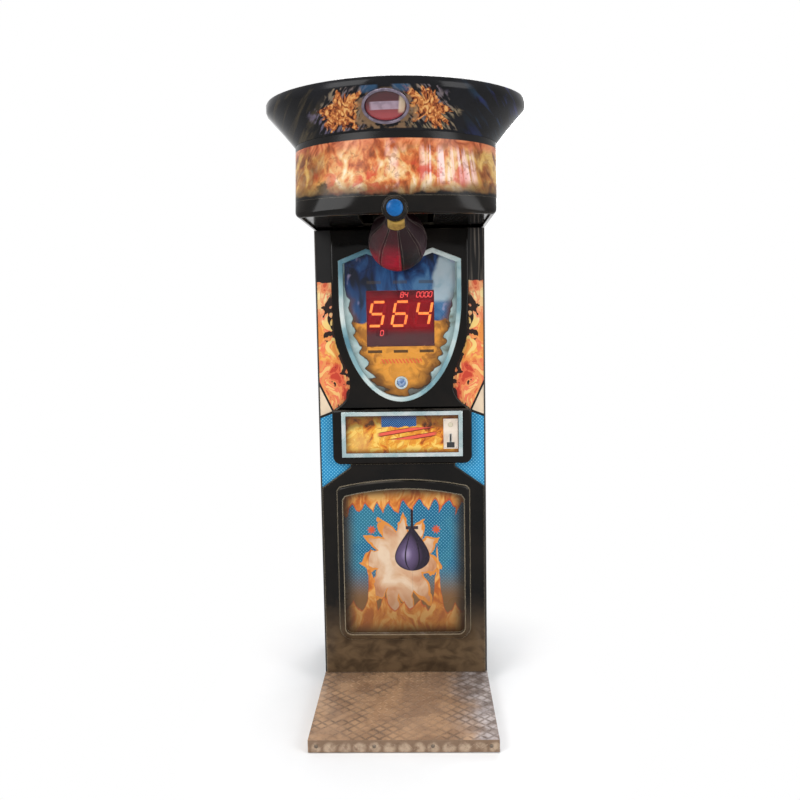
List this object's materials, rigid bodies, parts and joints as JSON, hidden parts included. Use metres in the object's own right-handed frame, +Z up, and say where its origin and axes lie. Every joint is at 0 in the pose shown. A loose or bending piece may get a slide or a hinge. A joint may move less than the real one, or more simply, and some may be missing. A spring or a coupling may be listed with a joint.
{
  "type": "strength tester machine",
  "caption": "Free-standing arcade strength tester: a tall cabinet with score display and coin panel, a tread plate, and a punch bag that swings down from under a flared head.",
  "frame": {"origin": "floor level under the middle of the overall box", "axes": "+Z up, -Y towards the player, +X to the player's right"},
  "size_m": [0.898, 1.1361, 2.205],
  "materials": {
    "frame_paint": "semi-gloss black",
    "tread_steel": "worn embossed sheet",
    "zinc_steel": "zinc plated",
    "black_rubber": "matte",
    "black_board": "black laminate",
    "printed_board": "printed laminate",
    "raw_board": "raw board",
    "dark_trim": "satin",
    "gloss_black": "high gloss",
    "pale_band": "gloss",
    "shield_print": "printed gloss",
    "red_filter": "tinted clear",
    "led_case": "matte",
    "circuit_board": "solder mask",
    "chrome_trim": "polished",
    "bright_alloy": "bright anodised",
    "blue_button": "lit gloss",
    "coin_print": "printed gloss",
    "white_plate": "gloss white",
    "dark_plastic": "moulded",
    "red_button": "gloss",
    "picture_print": "printed gloss",
    "head_print": "lit print",
    "badge_print": "printed gloss",
    "light_strip": "white",
    "bag_leather": "glossy leatherette",
    "cast_block": "painted casting"
  },
  "bodies": {
    "root": {"base_frame": "frame_paint", "tread_plate": "tread_steel", "lip_screws": "zinc_steel", "levelling_feet": "zinc_steel", "castor_brackets": "zinc_steel", "side_panel_left": "black_board", "side_panel_right": "black_board", "front_board": "printed_board", "edge_trims": "dark_trim", "display_surround": "gloss_black", "coin_surround": "gloss_black", "picture_surround": "gloss_black", "shield_bezel": "pale_band", "shield_panel": "shield_print", "display_filter": "red_filter", "digit_modules": "led_case", "display_board": "circuit_board", "select_ring": "chrome_trim", "coin_bezel": "bright_alloy", "coin_panel": "coin_print", "coin_plate": "white_plate", "coin_mech": "dark_plastic", "coin_chute": "zinc_steel", "picture_panel": "picture_print", "cabinet_floor": "raw_board", "back_panel": "black_board", "hinge_leaves": "zinc_steel", "power_supply": "bright_alloy", "control_board": "circuit_board", "power_inlet": "dark_plastic", "mast": "frame_paint", "pillow_blocks": "cast_block", "opto_sensor": "dark_plastic", "holding_magnet": "zinc_steel", "bump_stops": "black_rubber", "head_floor": "dark_trim", "drum_shell": "gloss_black", "drum_print": "head_print", "light_board": "light_strip", "start_pod": "gloss_black", "crown_shell": "gloss_black", "badge_bezel": "chrome_trim", "badge_lens": "badge_print", "head_lid": "dark_trim"},
    "castor_left": {"castor_wheel_left": "black_rubber"},
    "castor_right": {"castor_wheel_right": "black_rubber"},
    "select": {"select_button": "blue_button"},
    "start": {"start_button": "blue_button"},
    "reject": {"reject_button": "red_button"},
    "flap": {"return_flap": "zinc_steel"},
    "drawer": {"cash_drawer": "zinc_steel"},
    "door": {"back_door": "black_board", "door_leaves": "zinc_steel", "lock_barrel": "chrome_trim"},
    "cam": {"lock_cam": "zinc_steel"},
    "bag": {"pivot_shaft": "zinc_steel", "encoder_disc": "dark_plastic", "swing_arm": "frame_paint", "bag_collar": "frame_paint", "punch_bag": "bag_leather"}
  },
  "joints": [
    {"name": "castor_left_spin", "type": "hinge", "parent": "root", "child": "castor_left", "pos_m": [-0.25, 0.5375, 0.032], "axis": [1, 0, 0], "continuous": true},
    {"name": "castor_right_spin", "type": "hinge", "parent": "root", "child": "castor_right", "pos_m": [0.25, 0.5375, 0.032], "axis": [1, 0, 0], "continuous": true},
    {"name": "start_press", "type": "slide", "parent": "root", "child": "start", "axis": [0, 1, 0], "range_m": [0, 0.004], "stiffness_N_per_m": 400},
    {"name": "select_press", "type": "slide", "parent": "root", "child": "select", "axis": [0, 1, 0], "range_m": [0, 0.0035], "stiffness_N_per_m": 400},
    {"name": "reject_press", "type": "slide", "parent": "root", "child": "reject", "axis": [0, 1, 0], "range_m": [0, 0.003], "stiffness_N_per_m": 300},
    {"name": "return_flap_hinge", "type": "hinge", "parent": "root", "child": "flap", "pos_m": [0.1875, -0.016, 0.9805], "axis": [1, 0, 0], "range_deg": [0, 60]},
    {"name": "cash_drawer_slide", "type": "slide", "parent": "root", "child": "drawer", "axis": [0, 1, 0], "range_m": [0, 0.4]},
    {"name": "back_door_hinge", "type": "hinge", "parent": "root", "child": "door", "pos_m": [-0.23925, 0.5065, 0.725], "axis": [0, 0, 1], "range_deg": [0, 110]},
    {"name": "lock_cam_turn", "type": "hinge", "parent": "door", "child": "cam", "pos_m": [0.205, 0.4815, 0.725], "axis": [0, -1, 0], "range_deg": [0, 90]},
    {"name": "bag_swing", "type": "hinge", "parent": "root", "child": "bag", "pos_m": [0, -0.40636, 1.836], "axis": [-1, 0, 0], "range_deg": [0, 72]}
  ]
}
